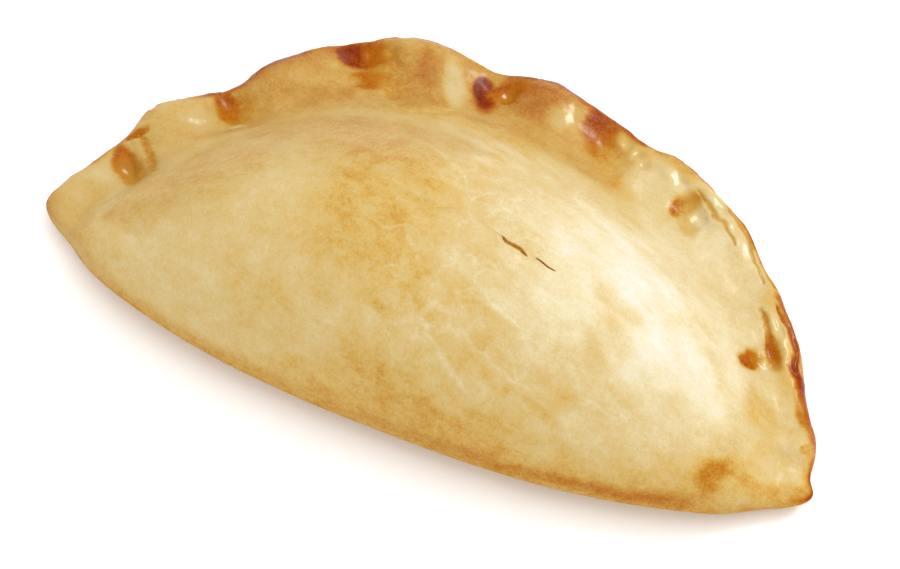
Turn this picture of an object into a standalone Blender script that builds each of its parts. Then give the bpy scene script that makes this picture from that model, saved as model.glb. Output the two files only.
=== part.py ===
# A hand-crimped half-moon pasty: one closed body of baked pastry, flat underneath.
#
# Metres, +Z up. The long way runs along X, the folded side faces -Y and the crimped side
# faces +Y. The origin is under the middle of the pasty, on the surface it rests on.
#
# The plan is a D. A round of dough is folded over its filling along the FOLD line, and its
# two edges are pressed together along the CRIMP line, which bulges and dips at each press.
# The body starts as a sphere. Its meridians are spread along the plan's outline and its
# parallels are drawn in from that outline, and each point then takes its height from how
# far it lies from the fold and from the crimp.

import math

import bmesh
import bpy
import numpy as np

NAME = "pasty"

# Fold line: a shallow bow between the two tips, drawn in where the flat tongues begin
FOLD_MIDDLE_X = 0.0003
FOLD_HALF_LENGTH = 0.0764
FOLD_TIP_Y = -0.0218
FOLD_DEPTH = 0.0184
FOLD_FLATNESS = 2.50
FOLD_POINT = 0.72
TONGUE_DIP = 0.0013
TONGUE_DIP_FROM_TIP = 0.0065
TONGUE_DIP_REACH = 0.0050

# Crimp line, before its lobes: two unlike quarter ellipses that meet at the back
CRIMP_TOP_X = -0.0120
CRIMP_LEFT_LENGTH = 0.0645
CRIMP_RIGHT_LENGTH = 0.0892
CRIMP_TIP_Y = -0.0215
CRIMP_RISE = 0.0605
CRIMP_LEFT_ROUNDNESS = 1.70
CRIMP_RIGHT_ROUNDNESS = 1.95

# Lobes of the crimp, from the left tip to the right one: the distance along the crimp line,
# how far the edge stands out from that line, and the height of the edge's top
LOBES = (
    (0.000, 0.0008, 0.0068),
    (0.013, -0.0009, 0.0066),
    (0.020, -0.0014, 0.0072),
    (0.029, 0.0005, 0.0108),
    (0.044, -0.0015, 0.0074),
    (0.056, 0.0014, 0.0098),
    (0.067, 0.0032, 0.0082),
    (0.082, 0.0038, 0.0108),
    (0.097, 0.0008, 0.0076),
    (0.110, 0.0033, 0.0104),
    (0.120, 0.0029, 0.0086),
    (0.131, 0.0021, 0.0078),
    (0.140, 0.0034, 0.0102),
    (0.155, 0.0023, 0.0098),
    (0.168, 0.0001, 0.0080),
    (0.180, -0.0012, 0.0102),
    (0.194, -0.0027, 0.0072),
    (0.2045, -0.0012, 0.0090),
    (0.2095, -0.0016, 0.0064),
    (0.2132, 0.0006, 0.0068),
)

# Thumb presses in the crimp: distance along it, distance in from its edge, half length along
# the edge, half length across it, depth
PRESSES = (
    (0.0165, 0.0070, 0.0040, 0.0055, 0.0022),
    (0.0430, 0.0055, 0.0050, 0.0048, 0.0024),
    (0.0350, 0.0090, 0.0030, 0.0035, 0.0010),
    (0.0710, 0.0055, 0.0065, 0.0045, 0.0026),
    (0.1010, 0.0050, 0.0055, 0.0050, 0.0028),
    (0.1250, 0.0055, 0.0060, 0.0050, 0.0024),
    (0.1480, 0.0070, 0.0050, 0.0040, 0.0022),
    (0.1680, 0.0060, 0.0045, 0.0045, 0.0016),
    (0.1830, 0.0060, 0.0060, 0.0040, 0.0022),
    (0.1860, 0.0140, 0.0035, 0.0035, 0.0012),
    (0.1980, 0.0050, 0.0040, 0.0035, 0.0014),
)

# Width of the flat crimped band: distance along the crimp, width
BANDS = (
    (0.000, 0.0085),
    (0.016, 0.0118),
    (0.042, 0.0130),
    (0.065, 0.0125),
    (0.088, 0.0142),
    (0.105, 0.0112),
    (0.130, 0.0100),
    (0.155, 0.0112),
    (0.185, 0.0108),
    (0.205, 0.0090),
    (0.2132, 0.0080),
)
USUAL_BAND = 0.0112
BAND_FADE = 0.0170

# Dome over the filling
TOP_HEIGHT = 0.0366
WIDEST_FILLING = 0.0700
FALL_TO_TIPS = 0.80
CREST_PLACE = 0.53
CRIMP_SLOPE = 1.15

# Edges
RIM_HEIGHT = 0.0078
FOLD_EDGE_HEIGHT = 0.0078
CRIMP_EDGE_HEIGHT = 0.0046
UPPER_EDGE_ROUND = 0.0032
FOLD_UNDER_ROUND = 0.0100
CRIMP_UNDER_ROUND = 0.0040
HIGHEST_LOBE = 0.0108
LOBE_LIFT = 0.0016
LOBE_REACH_IN = 0.0085
CORNER_ROUND = 0.0012
TONGUE_LENGTH = 0.0260

# Mesh
CENTRE = (0.004, -0.007)
CRIMP_SEGMENTS = 106
FOLD_SEGMENTS = 52
CROWDING_AT_TIPS = 0.30
PARALLELS = 26
WIDEST_PARALLEL = 19
UPPER_SPACING = 1.70
LOWER_SPACING = 2.40
LINE_STEPS = 900
TINY = 1e-9

PASTRY_COLOUR = (0.72, 0.47, 0.19, 1.0)
PASTRY_ROUGHNESS = 0.42


def remove_everything():
    for thing in list(bpy.data.objects):
        bpy.data.objects.remove(thing, do_unlink=True)


def lengths_along(points):
    steps = np.linalg.norm(np.diff(points, axis=0), axis=1)
    return np.concatenate([[0.0], np.cumsum(steps)])


def evenly_spaced(points, count):
    """The same line with its points at equal distances."""
    along = lengths_along(points)
    wanted = np.linspace(0.0, along[-1], count)
    return np.stack([np.interp(wanted, along, points[:, k]) for k in (0, 1)], axis=1)


def spread(points, count, crowding):
    """A line cut into that many steps, shorter at its ends, without its last point."""
    share = np.linspace(0.0, 1.0, count + 1)[:-1]
    share -= crowding * np.sin(2.0 * math.pi * share) / (2.0 * math.pi)
    along = lengths_along(points)
    return np.stack([np.interp(share * along[-1], along, points[:, k]) for k in (0, 1)], axis=1)


def fold_line():
    """From the left tip round the front to the right tip."""
    across = -np.cos(np.linspace(0.0, math.pi, LINE_STEPS))
    down = (1.0 - np.abs(across) ** FOLD_FLATNESS) ** FOLD_POINT
    x = FOLD_MIDDLE_X + FOLD_HALF_LENGTH * across
    from_tip = FOLD_HALF_LENGTH * (1.0 - np.abs(across))
    dip = TONGUE_DIP * swell(from_tip - TONGUE_DIP_FROM_TIP, TONGUE_DIP_REACH)
    y = FOLD_TIP_Y - FOLD_DEPTH * down + dip
    return evenly_spaced(np.stack([x, y], axis=1), LINE_STEPS)


def plain_crimp_line():
    """From the left tip round the back to the right tip, without lobes."""
    angle = np.linspace(math.pi, 0.0, LINE_STEPS)
    left = np.cos(angle) < 0.0
    power = 2.0 / np.where(left, CRIMP_LEFT_ROUNDNESS, CRIMP_RIGHT_ROUNDNESS)
    length = np.where(left, CRIMP_LEFT_LENGTH, CRIMP_RIGHT_LENGTH)
    across = np.sign(np.cos(angle)) * np.abs(np.cos(angle)) ** power
    up = np.abs(np.sin(angle)) ** power
    x = CRIMP_TOP_X + length * across
    y = CRIMP_TIP_Y + CRIMP_RISE * up
    return evenly_spaced(np.stack([x, y], axis=1), LINE_STEPS)


def smooth_step(share):
    share = np.clip(share, 0.0, 1.0)
    return share * share * (3.0 - 2.0 * share)


def eased(station, stations, values):
    """Values between the listed stations, level at each of them."""
    stations = np.asarray(stations)
    values = np.asarray(values)
    left = np.clip(np.searchsorted(stations, station, side="right") - 1, 0, len(stations) - 2)
    share = (station - stations[left]) / (stations[left + 1] - stations[left])
    return values[left] + smooth_step(share) * (values[left + 1] - values[left])


def lobe_reach(station):
    return eased(station, [lobe[0] for lobe in LOBES], [lobe[1] for lobe in LOBES])


def lobe_height(station):
    return eased(station, [lobe[0] for lobe in LOBES], [lobe[2] for lobe in LOBES])


def band_width(station):
    return eased(station, [band[0] for band in BANDS], [band[1] for band in BANDS])


def with_lobes(plain, stations):
    """The crimp's outer edge."""
    run = np.gradient(plain, axis=0)
    run /= np.linalg.norm(run, axis=1, keepdims=True)
    outward = np.stack([-run[:, 1], run[:, 0]], axis=1)
    return plain + lobe_reach(stations)[:, None] * outward


def softened(loop, reach):
    """A closed line whose corners are rounded off over about that reach."""
    step = lengths_along(loop)[-1] / len(loop)
    half = max(1, round(reach / step))
    window = np.hanning(2 * half + 3)[1:-1]
    window /= window.sum()
    wrapped = np.concatenate([loop[-half:], loop, loop[:half]])
    return np.stack([np.convolve(wrapped[:, k], window, mode="valid") for k in (0, 1)], axis=1)


def nearest(points, line):
    """How far each point lies from a line, and the index of the line's nearest point."""
    gaps = np.linalg.norm(points[:, None, :] - line[None, :, :], axis=2)
    index = gaps.argmin(axis=1)
    return gaps[np.arange(len(points)), index], index


def rounded(distance, radius):
    """0 at an edge and 1 from the radius inwards, rising as a quarter circle does."""
    inward = np.clip(distance / radius, 0.0, 1.0)
    return np.sqrt(1.0 - (1.0 - inward) ** 2)


def swell(distance, radius):
    """1 at an edge, falling softly to 0 over about the radius."""
    return np.exp(-((distance / radius) ** 2))


class Plan:
    """The outline seen from above, and how far points of the plan lie from its lines."""

    def __init__(self):
        plain = plain_crimp_line()
        stations = lengths_along(plain)
        crimp = with_lobes(plain, stations)
        loop = softened(np.concatenate([crimp[::-1], fold_line()[1:-1]]), CORNER_ROUND)
        self.crimp = loop[: len(crimp)]
        self.fold = np.concatenate([self.crimp[-1:], loop[len(crimp):], self.crimp[:1]])
        self.plain = plain[::-1]
        self.stations = stations[::-1]

    def outline(self):
        """Points to spread the meridians on, anticlockwise from the right tip."""
        crimp = spread(self.crimp, CRIMP_SEGMENTS, CROWDING_AT_TIPS)
        fold = spread(self.fold, FOLD_SEGMENTS, CROWDING_AT_TIPS)
        return np.concatenate([crimp, fold])

    def measure(self, points):
        """What the heights are worked out from, for each point of the plan."""
        from_plain, index = nearest(points, self.plain)
        from_crimp, _ = nearest(points, self.crimp)
        from_fold, _ = nearest(points, self.fold)
        from_tip = FOLD_HALF_LENGTH - np.abs(points[:, 0] - FOLD_MIDDLE_X)
        return {
            "from_plain": from_plain,
            "from_crimp": from_crimp,
            "from_fold": from_fold,
            "station": self.stations[index],
            "off_tip": smooth_step(from_tip / TONGUE_LENGTH),
        }


def thumb_presses(place):
    depth = np.zeros_like(place["station"])
    for along, inward, half_along, half_across, deep in PRESSES:
        side = (place["station"] - along) / half_along
        out = (place["from_crimp"] - inward) / half_across
        depth += deep * np.exp(-(side**2) - out**2)
    return depth


def dome_height(place):
    """Height that the filling adds to the flat rim."""
    band = USUAL_BAND + (band_width(place["station"]) - USUAL_BAND) * swell(
        place["from_plain"], BAND_FADE
    )
    past_band = np.maximum(place["from_plain"] - band, 0.0)
    width = past_band + place["from_fold"] + TINY
    across = past_band / width
    up_from_crimp = np.sin(0.5 * math.pi * np.clip(across / CREST_PLACE, 0.0, 1.0))
    up_from_fold = rounded(1.0 - across, 1.0 - CREST_PLACE)
    fullness = np.clip(width / WIDEST_FILLING, 0.0, 1.0) ** FALL_TO_TIPS
    rise = (TOP_HEIGHT - RIM_HEIGHT) * fullness
    return rise * up_from_crimp**CRIMP_SLOPE * up_from_fold


def nearness_to_fold(place):
    """0 along the crimp and round the tips, 1 along the rest of the fold."""
    share = place["from_crimp"] / (place["from_crimp"] + place["from_fold"] + TINY)
    return smooth_step(share) * place["off_tip"]


def edge_height(place):
    return CRIMP_EDGE_HEIGHT + (FOLD_EDGE_HEIGHT - CRIMP_EDGE_HEIGHT) * nearness_to_fold(place)


def upper_height(place):
    edge = edge_height(place)
    lobe = (lobe_height(place["station"]) - RIM_HEIGHT) * swell(place["from_crimp"], LOBE_REACH_IN)
    rise = RIM_HEIGHT - edge + lobe - thumb_presses(place)
    rise *= rounded(place["from_crimp"], UPPER_EDGE_ROUND)
    rise *= rounded(place["from_fold"], UPPER_EDGE_ROUND)
    return edge + rise + dome_height(place)


def lower_height(place):
    """The flat underside, rounded up at its edge and lifted a little under the lobes."""
    by_fold = nearness_to_fold(place)
    radius = CRIMP_UNDER_ROUND + (FOLD_UNDER_ROUND - CRIMP_UNDER_ROUND) * by_fold
    inward = rounded(np.minimum(place["from_crimp"], place["from_fold"]), radius)
    proud = (lobe_height(place["station"]) - RIM_HEIGHT) / (HIGHEST_LOBE - RIM_HEIGHT)
    lift = LOBE_LIFT * np.clip(proud, 0.0, 1.0) * (1.0 - by_fold)
    lift *= smooth_step(1.0 - place["from_plain"] / band_width(place["station"]))
    return edge_height(place) * (1.0 - inward) + lift * inward


def shape_body(ball):
    """Moves a unit sphere's points onto the pasty."""
    plan = Plan()
    outline = plan.outline()
    segments = len(outline)
    co = np.array([vert.co for vert in ball.verts])
    meridian = np.round(np.arctan2(co[:, 1], co[:, 0]) * segments / (2.0 * math.pi))
    meridian = meridian.astype(int) % segments
    parallel = np.round(np.arccos(np.clip(co[:, 2], -1.0, 1.0)) * PARALLELS / math.pi)

    upper = parallel <= WIDEST_PARALLEL
    rings_up = (WIDEST_PARALLEL - parallel) / WIDEST_PARALLEL
    rings_down = (parallel - WIDEST_PARALLEL) / (PARALLELS - WIDEST_PARALLEL)
    inset = np.abs(rings_down) ** LOWER_SPACING
    inset[upper] = rings_up[upper] ** UPPER_SPACING
    points = outline[meridian] + inset[:, None] * (np.array(CENTRE) - outline[meridian])

    place = plan.measure(points)
    on_outline = inset == 0.0
    place["from_crimp"][on_outline & (meridian <= CRIMP_SEGMENTS)] = 0.0
    place["from_fold"][on_outline & ((meridian >= CRIMP_SEGMENTS) | (meridian == 0))] = 0.0
    height = np.where(upper, upper_height(place), lower_height(place))
    centred = points - 0.5 * (outline.min(axis=0) + outline.max(axis=0))
    for vert, (x, y), z in zip(ball.verts, centred, height):
        vert.co = (x, y, z)


def pastry_material():
    material = bpy.data.materials.new("baked pastry")
    material.use_nodes = True
    shader = material.node_tree.nodes["Principled BSDF"]
    shader.inputs["Base Color"].default_value = PASTRY_COLOUR
    shader.inputs["Roughness"].default_value = PASTRY_ROUGHNESS
    shader.inputs["Metallic"].default_value = 0.0
    material.diffuse_color = PASTRY_COLOUR
    return material


def make_pasty(collection):
    ball = bmesh.new()
    bmesh.ops.create_uvsphere(
        ball,
        u_segments=CRIMP_SEGMENTS + FOLD_SEGMENTS,
        v_segments=PARALLELS,
        radius=1.0,
    )
    shape_body(ball)
    bmesh.ops.recalc_face_normals(ball, faces=ball.faces)
    mesh = bpy.data.meshes.new(NAME)
    ball.to_mesh(mesh)
    ball.free()
    mesh.shade_smooth()
    mesh.materials.append(pastry_material())
    body = bpy.data.objects.new(NAME, mesh)
    collection.objects.link(body)
    return body


def main():
    remove_everything()
    collection = bpy.data.collections.new("hand-crimped pasty")
    bpy.context.scene.collection.children.link(collection)
    make_pasty(collection)


main()
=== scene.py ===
# Looks of a hand-crimped pasty: the baked crust, with the floor, light and camera of a small studio.
# Metres, +Z up. The folded side of the pasty faces -Y and its crimped side faces +Y.

import math

import bpy
import numpy as np
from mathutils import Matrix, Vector, kdtree, noise

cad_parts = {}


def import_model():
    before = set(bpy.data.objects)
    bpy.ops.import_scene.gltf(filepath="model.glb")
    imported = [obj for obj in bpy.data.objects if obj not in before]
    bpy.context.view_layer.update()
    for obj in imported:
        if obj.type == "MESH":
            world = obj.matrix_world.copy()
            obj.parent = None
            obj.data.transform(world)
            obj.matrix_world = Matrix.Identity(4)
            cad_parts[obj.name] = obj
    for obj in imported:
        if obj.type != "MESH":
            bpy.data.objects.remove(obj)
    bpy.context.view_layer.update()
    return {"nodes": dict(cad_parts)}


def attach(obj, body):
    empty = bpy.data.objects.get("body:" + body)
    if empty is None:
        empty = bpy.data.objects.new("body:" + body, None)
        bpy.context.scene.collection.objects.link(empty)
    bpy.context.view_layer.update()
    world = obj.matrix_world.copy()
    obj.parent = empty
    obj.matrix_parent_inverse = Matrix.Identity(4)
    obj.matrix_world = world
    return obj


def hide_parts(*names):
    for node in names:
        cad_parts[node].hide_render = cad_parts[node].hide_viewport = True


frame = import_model()
mm = 0.001
noise.seed_set(11)  # the same pasty every time
print("frame loaded:", sorted(frame["nodes"]))


# Camera and studio

cameraValues = {
    "aim": (0.0017, -0.0099, 0.0100),
    "azimuth": 23.0,  # degrees to the right of the front
    "elevation": 62.0,
    "distance": 0.46,
    "lens": 100.0,
    "sensorWidth": 36.0,
    "sees": (0.01, 20.0),  # from how near to how far
}

studioValues = {
    "floorSize": 16.0,
    "floorColour": (255, 254, 253),
    "floorRoughness": 0.75,
    "skyColour": (1.0, 1.0, 1.0),
    "skyStrength": 1.06,
    # azimuth round from the front, elevation, distance, size, power, and whether it shows in gloss
    # or lights the plain surface
    "lights": {
        "topLight": (120.0, 76.0, 1.1, 0.90, 3.4, False),
        "sideLight": (132.0, 51.0, 1.1, 0.26, 2.8, False),
        "sheenLight": (132.0, 51.0, 1.1, 0.26, 8.0, True),
    },
    "lightColour": (1.0, 0.99, 0.97),
}


def direction(azimuth, elevation):
    turn = math.radians(azimuth)
    rise = math.radians(elevation)
    return Vector((math.sin(turn) * math.cos(rise), -math.cos(turn) * math.cos(rise), math.sin(rise)))


def facing(azimuth, elevation):
    return (math.radians(90.0 - elevation), 0.0, math.radians(azimuth))


def linear(colour, share=1.0):  # 0 to 255 on a screen, to that share of its linear colour
    return tuple(share * (channel / 255.0) ** 2.2 for channel in colour) + (1.0,)


def addCamera(values):
    outward = direction(values["azimuth"], values["elevation"])
    place = Vector(values["aim"]) + values["distance"] * outward
    bpy.ops.object.camera_add(location=place, rotation=facing(values["azimuth"], values["elevation"]))
    camera = bpy.context.object
    camera.name = "studioCamera"
    camera.data.lens = values["lens"]
    camera.data.sensor_width = values["sensorWidth"]
    camera.data.clip_start, camera.data.clip_end = values["sees"]
    camera.data.dof.use_dof = False
    bpy.context.scene.camera = camera


def addLights(values):
    for name, (azimuth, elevation, distance, size, power, inGloss) in values["lights"].items():
        place = distance * direction(azimuth, elevation)
        bpy.ops.object.light_add(type="AREA", location=place, rotation=facing(azimuth, elevation))
        light = bpy.context.object
        light.name = name
        light.data.shape = "DISK"
        light.data.size = size
        light.data.energy = power
        light.data.color = values["lightColour"]
        light.visible_glossy = inGloss
        light.visible_diffuse = not inGloss


def lightSky(values):
    world = bpy.data.worlds.new("studioSky")
    world.use_nodes = True
    sky = world.node_tree.nodes["Background"]
    sky.inputs["Color"].default_value = values["skyColour"] + (1.0,)
    sky.inputs["Strength"].default_value = values["skyStrength"]
    world.cycles_visibility.glossy = False  # a glossy surface shows the one lamp, not the white room
    bpy.context.scene.world = world


def addFloor(values):
    bpy.ops.mesh.primitive_plane_add(size=values["floorSize"], location=(0.0, 0.0, 0.0))
    floor = bpy.context.object
    floor.name = "studioFloor"
    material = bpy.data.materials.new("floorPaint")
    material.use_nodes = True
    shader = material.node_tree.nodes["Principled BSDF"]
    shader.inputs["Base Color"].default_value = linear(values["floorColour"])
    shader.inputs["Roughness"].default_value = values["floorRoughness"]
    shader.inputs["Specular IOR Level"].default_value = 0.0
    floor.data.materials.append(material)


bpy.ops.object.select_all(action="DESELECT")
addCamera(cameraValues)
addLights(studioValues)
lightSky(studioValues)
addFloor(studioValues)
bpy.context.scene.view_settings.view_transform = "Standard"
print("camera, lights and floor set")


# The crust's shape

crustShape = {
    "mergeWithin": 0.000001,
    "roundings": 2,  # subdivision levels
    "easing": 0.5,  # how far a point moves to the middle of its neighbours in one pass
    "topFrom": 0.1,  # the least upward part of a normal on the top side
    "domeFrom": 15.0 * mm,  # height above which the dome is eased, and how many passes
    "domePasses": 160,
    "footFrom": 7.5 * mm,  # height above which its foot is eased, behind which y, and how many passes
    "footBehind": -12.0 * mm,
    "footPasses": 70,
    "crown": (4.0 * mm, -7.6 * mm),  # where the dome's meridians meet
    "crownReach": 9.0 * mm,
    "crownRing": 0.45,  # share of the reach outside which the crown's curve is fitted
    "crownBlend": 0.5,  # share of the reach over which it comes in
    "finerFrom": 0.3,  # the least upward part of a normal where the mesh is made finer
    "finerSlit": (3, 8),  # cuts of each edge, and easing passes
    "finerPresses": (1, 3),
    "finerMargin": 1.2,  # in mm, round each press and glint
    "edgeSteepness": 0.25,  # below this the surface counts as the outer edge
    "upperSide": (-0.1, 0.4),  # the upward part of a normal where it starts, and over how much
    "band": (11.0 * mm, 4.0 * mm),  # the rim lies below this height, with a change this long
    "wander": ((0.7 * mm, 4.0 * mm), (0.3 * mm, 1.4 * mm)),  # of all outlines: reach and size
    "pressWall": (0.95, 3),  # where the wall of a press stands in its oval, and how steep it is
    "pressRidge": (0.22, 1.45, 0.35),  # height as a share of the depth, where, and how wide
    "creaseSoftness": 0.9,
    "creaseRidge": (0.3, 2.4),  # height and width as shares of the crease's
    "slitSoftness": 0.45,
    "slitLip": (0.12 * mm, 3.5, 0.9),  # height, width as a share of the cut's, and softness
    "rippleDome": (17.0 * mm, 0.22 * mm),  # size and depth of each
    "rippleRim": (5.5 * mm, 0.26 * mm),
    "rippleFine": (2.2 * mm, 0.035 * mm),
    "rippleUnder": 0.3,  # share of it on the underside
    "calm": 0.8,  # how much of the ripple is missing under a glaze
    "glintSlope": (-0.39, 0.01),  # of a small flat that shows the lamp, along x and y
    "glintTurn": 0.7,  # the most a slope is changed for it
    "glintFall": 2.4,  # how sharply the flat ends
    "glintUpward": 0.3,  # the least upward part of a normal that a slope is worked out from
}
rippleOctaves = (0.9, 2.1, 3)  # roughness, step of scale and number
strokeEnds = 0.25  # width of a line's ends as a share of its middle

# Thumb presses and smaller dents, in mm: x, y, half length, half width, turn in degrees, depth,
# how dark they are baked where they start and where they end, how glossy where they end
thumbPresses = {
    "leftNotch": (-66.6, -1.9, 2.2, 1.0, 40, 0.4, 0.80, 0.80, 0.4),
    "leftEnd": (-65.6, -8.6, 5.2, 2.5, -42, 0.5, 0.82, 0.70, 0.9),
    "secondField": (-50.4, 11.6, 4.6, 3.4, 10, 0.5, 0.73, 0.63, 0.6),
    "secondEdge": (-54.2, 11.4, 4.4, 2.2, -50, 0.25, 0.82, 0.77, 0.8),
    "thirdOuter": (-33.4, 32.0, 6.4, 3.0, 13, 0.5, 0.92, 0.76, 1.0),
    "thirdInner": (-30.8, 26.8, 4.6, 2.5, 18, 0.4, 0.80, 0.74, 0.9),
    "fourthDark": (-9.2, 32.6, 4.0, 2.4, -68, 0.25, 0.95, 0.92, 0.8),
    "fourthOuter": (-4.6, 35.2, 4.2, 2.4, 20, 0.5, 0.84, 0.78, 1.0),
    "fifth": (15.0, 33.2, 6.0, 3.6, -66, 0.25, 0.85, 0.78, 0.9),
    "fifthTail": (18.6, 28.6, 3.4, 2.4, -40, 0.4, 0.68, 0.58, 0.6),
    "sixth": (35.6, 24.2, 3.6, 2.1, 50, 0.35, 0.79, 0.72, 0.9),
    "sixthTail": (37.2, 20.4, 3.0, 1.6, -55, 0.3, 0.60, 0.50, 0.5),
    "seventhOuter": (66.0, 1.0, 6.0, 1.5, -62, 0.4, 0.84, 0.92, 0.9),
    "seventhInner": (61.0, 1.6, 3.6, 1.3, -60, 0.5, 0.84, 0.76, 1.0),
    "seventhSpot": (57.8, -2.3, 2.9, 1.8, 66, 0.3, 0.81, 0.78, 0.8),
    "rightNub": (72.9, -14.8, 1.5, 1.1, 30, 0.2, 0.68, 0.62, 0.5),
}

# Folds and creases, in mm: points, half width, depth, how dark, how glossy
creases = {
    "firstOverlap": (((-66.0, -2.4), (-63.6, -4.0), (-58.8, -8.9)), 0.9, 0.35, 0.74, 0.3),
    "secondRim": (((-56.4, 13.6), (-54.0, 16.8), (-51.4, 19.4)), 0.9, 0.3, 0.84, 0.4),
    # the third valley's darker, greyed tone is painted shade over its real dip
    "shadedThirdValley": (((-27.6, 32.4), (-26.4, 28.5), (-24.4, 24.0)), 2.2, 0.6, 0.68, 0.3),
    "thirdFoot": (((-24.6, 22.0), (-20.0, 19.4), (-14.0, 23.5), (-11.2, 28.0)), 1.0, 0.6, 0.56, 0.0),
    "sixthFold": (((36.8, 27.4), (41.6, 23.4), (43.8, 22.6), (47.2, 18.8)), 0.4, 0.45, 0.66, 0.6),
    "sixthOuterFold": (((43.4, 25.8), (48.4, 22.2), (50.8, 18.6), (54.4, 14.4)), 0.4, 0.3, 0.68, 0.6),
    "seventhStreak": (((55.6, 9.2), (57.6, 6.4), (59.8, 3.2)), 0.6, 0.4, 0.75, 0.8),
    "seventhEdgeFold": (((58.0, 10.6), (61.6, 7.4), (64.2, 3.8), (66.4, -0.6)), 0.55, 0.4, 0.86, 0.8),
    "rightBoundary": (((64.8, -15.2), (61.4, -21.4), (59.0, -26.2)), 0.7, 0.3, 0.40, 0.0),
}

# Small flats and blisters that catch the light, in mm: x, y, half length, half width, turn,
# and how far a pale dab is painted on each as a painted highlight
glints = {
    "leftEnd": (-65.8, -8.8, 3.4, 1.5, -52, 0.1),
    "firstLobe": (-57.4, 4.4, 2.0, 1.8, 0, 0.45),
    "thirdMiddle": (-33.6, 32.2, 1.2, 1.0, 60, 0.1),
    "thirdRight": (-30.0, 33.6, 1.2, 0.9, 60, 0.2),
    "thirdInner": (-34.0, 25.2, 1.5, 1.2, 0, 0.3),
    "fourth": (-5.8, 34.0, 2.2, 1.4, 20, 0.15),
    "fifthLeft": (8.0, 33.2, 2.8, 1.8, -60, 0.15),
    "fifthRight": (19.6, 33.0, 1.5, 1.1, 0, 0.35),
    "fifthCrumb": (22.6, 31.4, 1.2, 1.0, 0, 0.4),
    "fifthCrumbLow": (24.6, 29.4, 1.2, 1.0, 0, 0.4),
    "fifthLobe": (31.6, 28.6, 3.4, 1.5, -40, 0.6),
    "sixth": (37.8, 22.6, 1.8, 1.4, 0, 0.4),
    "sixthBand": (41.2, 26.2, 3.0, 1.0, -38, 0.6),
    "sixthBandMiddle": (45.4, 22.8, 1.8, 0.9, -45, 0.6),
    "sixthBandEnd": (49.2, 19.2, 2.4, 0.9, -45, 0.6),
    "seventhLobe": (53.4, 15.0, 2.4, 1.3, -50, 0.6),
    "seventhStreak": (59.2, 6.8, 2.4, 1.0, -50, 0.5),
    "seventhEdge": (62.6, 3.2, 2.0, 0.9, -50, 0.4),
    "seventhRim": (66.8, 2.0, 2.2, 0.7, -60, 0.4),
    "seventhSpot": (60.6, -1.4, 1.6, 1.3, 0, 0.2),
}

# Cuts of the steam slit, in mm: points, half width, depth, how dark
slitCuts = {
    "hairline": (((8.6, -8.6), (10.2, -8.9), (11.6, -9.4)), 0.10, 0.10, 0.56),
    "openCut": (
        ((11.4, -9.2), (12.4, -9.9), (13.8, -10.0), (15.0, -10.1), (16.6, -10.9)), 0.34, 0.55, 0.72,
    ),
    "closedCut": (((18.3, -10.5), (19.6, -10.8), (20.8, -11.2), (22.2, -11.3)), 0.15, 0.35, 0.86),
}
slitPatch = (15.4, -10.0, 8.6, 3.6, -12)  # oval, given as the presses are, with a finer mesh


def fade(share):  # soft step from 0 to 1
    share = np.clip(share, 0.0, 1.0)
    return share * share * (3.0 - 2.0 * share)


def after(along, start, length):  # 0 up to the start, 1 that length past it
    return fade((along - start) / length)


def before(along, end, length):  # 0 past the end, 1 that length before it
    return fade((end - along) / length)


def drift(points, size):  # a slow random vector for each point
    return np.array([noise.noise_vector(Vector(point) / size) for point in points])


def ripple(points, size):
    return np.array([noise.fractal(Vector(point) / size, *rippleOctaves) for point in points])


def turned(points, turn):  # the points in axes turned that far round Z
    angle = math.radians(turn)
    east = points[:, 0] * math.cos(angle) + points[:, 1] * math.sin(angle)
    north = points[:, 1] * math.cos(angle) - points[:, 0] * math.sin(angle)
    return np.stack([east, north, points[:, 2]], axis=1)


def ovalReach(place, x, y, halfLength, halfWidth, turn):  # 0 at the middle of an oval, 1 on its edge
    across = alongOval(place, x, y, halfWidth, turn + 90.0)
    return np.hypot(alongOval(place, x, y, halfLength, turn), across)


def alongOval(place, x, y, halfLength, turn):  # -1 where an oval starts, 1 where it ends
    angle = math.radians(turn)
    east = place[:, 0] - x * mm
    north = place[:, 1] - y * mm
    return (east * math.cos(angle) + north * math.sin(angle)) / (halfLength * mm)


def pressCourse(place, x, y, halfLength, _, turn):  # 0 where a press starts, 1 where it ends
    return fade(0.5 + 0.5 * alongOval(place, x, y, halfLength, turn))


def spot(reach, softness):  # 1 within an oval, 0 outside it
    return fade((1.0 + softness - reach) / (2.0 * softness))


def stroke(place, points, halfWidth, softness=0.5):  # 1 along a line that tapers at both ends
    corners = np.array(points) * mm
    lengths = np.linalg.norm(np.diff(corners, axis=0), axis=1)
    nearest = np.full(len(place), np.inf)
    share = np.zeros(len(place))
    passed = 0.0
    for start, end, length in zip(corners[:-1], corners[1:], lengths):
        onward = np.clip((place - start) @ (end - start) / length**2, 0.0, 1.0)
        gap = np.linalg.norm(place - start - onward[:, None] * (end - start), axis=1)
        closer = gap < nearest
        nearest = np.where(closer, gap, nearest)
        share = np.where(closer, (passed + onward * length) / lengths.sum(), share)
        passed += length
    taper = np.sqrt(np.clip(4.0 * share * (1.0 - share), 0.0, 1.0)) * (1.0 - strokeEnds) + strokeEnds
    return fade((1.0 + softness - nearest / (halfWidth * mm * taper)) / (2.0 * softness))


def copyOfNode(nodeName, pieceName):
    piece = bpy.data.objects.new(pieceName, frame["nodes"][nodeName].data.copy())
    bpy.context.scene.collection.objects.link(piece)
    bpy.ops.object.select_all(action="DESELECT")
    piece.select_set(True)
    bpy.context.view_layer.objects.active = piece
    return piece


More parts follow.
